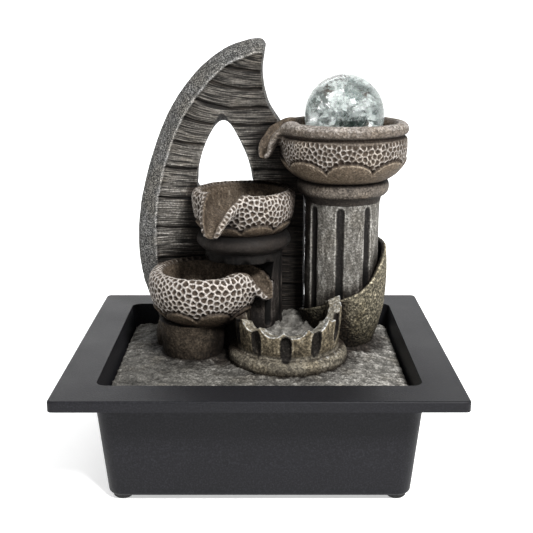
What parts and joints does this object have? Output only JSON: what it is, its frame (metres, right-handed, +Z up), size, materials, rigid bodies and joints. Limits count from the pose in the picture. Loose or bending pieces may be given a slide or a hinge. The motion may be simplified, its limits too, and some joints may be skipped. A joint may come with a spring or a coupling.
{
  "type": "tabletop water fountain",
  "caption": "Tabletop water fountain: black basin, grey-brown cast sculpture with pierced crescent fin, fluted columns, three spilling bowls, front pool and a crackled glass ball.",
  "frame": {"origin": "centre of the basin rectangle at floor level, under the feet", "axes": "+X to the right of the front view, +Y to the back, +Z up"},
  "size_m": [0.21, 0.18, 0.238],
  "materials": {
    "basin_plastic": "satin moulded black",
    "rubber": "matt",
    "cast_stone": "dry-brushed cast resin",
    "bowl_stone": "dimpled, dry-brushed cast resin",
    "fin_stone": "carved, dry-brushed cast resin",
    "pool_stone": "ochre-washed cast resin",
    "deck_stone": "rough grey-beige cast resin",
    "crackle_glass": "polished, crackled inside",
    "clear_plastic": "clear",
    "black_plastic": "moulded",
    "circuit_board": "solder-masked board",
    "led_white": "domed resin",
    "clear_hose": "soft clear vinyl",
    "ceramic_white": "polished",
    "magnet": "sintered ferrite",
    "white_plastic": "moulded",
    "core_steel": "laminated",
    "copper_wire": "enamelled winding",
    "potting": "cast epoxy",
    "nickel": "nickel plated",
    "lead_jacket": "satin vinyl"
  },
  "bodies": {
    "basin": {"basin": "basin_plastic", "foot_front_left": "rubber", "foot_rear_left": "rubber", "foot_front_right": "rubber", "foot_rear_right": "rubber"},
    "glass_ball": {"glass_ball": "crackle_glass"},
    "rotor": {"rotor_magnet": "magnet", "impeller": "white_plastic"},
    "strainer": {"strainer_cover": "black_plastic"},
    "flow_dial": {"flow_dial": "black_plastic"},
    "sculpture": {"main_column": "cast_stone", "main_capital": "cast_stone", "middle_column": "cast_stone", "middle_collar": "cast_stone", "lower_pedestal": "cast_stone", "top_bowl": "bowl_stone", "middle_bowl": "bowl_stone", "lower_bowl": "bowl_stone", "crescent_fin": "fin_stone", "horn_shell": "fin_stone", "front_pool": "pool_stone", "rock_plinth": "deck_stone", "deck_casting": "deck_stone", "ball_seat": "clear_plastic", "lamp_housing": "black_plastic", "lamp_board": "circuit_board", "lamp_chips": "led_white", "lamp_window": "clear_plastic", "water_hose": "clear_hose", "suction_cup_1": "rubber", "suction_cup_2": "rubber", "suction_cup_3": "rubber", "suction_cup_4": "rubber", "rotor_shaft": "ceramic_white", "bush_rear": "ceramic_white", "bush_front": "ceramic_white", "volute_cover": "black_plastic", "pump_housing": "black_plastic", "stator_core": "core_steel", "stator_coil": "copper_wire", "pump_potting": "potting", "inlet_block": "black_plastic", "inlet_sleeve": "nickel", "inlet_pin": "nickel", "lamp_lead": "lead_jacket", "pump_lead": "lead_jacket"}
  },
  "joints": [
    {"name": "sculpture_lift", "type": "slide", "parent": "basin", "child": "sculpture", "axis": [0, 0, 1], "range_m": [0, 0.15]},
    {"name": "ball_spin", "type": "hinge", "parent": "sculpture", "child": "glass_ball", "pos_m": [0.049, 0.03, 0.1945], "axis": [1, 0, 0], "continuous": true},
    {"name": "rotor_spin", "type": "hinge", "parent": "sculpture", "child": "rotor", "pos_m": [0.045, 0.03, 0.0265], "axis": [1, 0, 0], "continuous": true},
    {"name": "strainer_pull", "type": "slide", "parent": "sculpture", "child": "strainer", "axis": [1, 0, 0], "range_m": [0, 0.006]},
    {"name": "flow_turn", "type": "hinge", "parent": "strainer", "child": "flow_dial", "pos_m": [0.069, 0.03, 0.031], "axis": [1, 0, 0], "range_deg": [0, 90]}
  ]
}
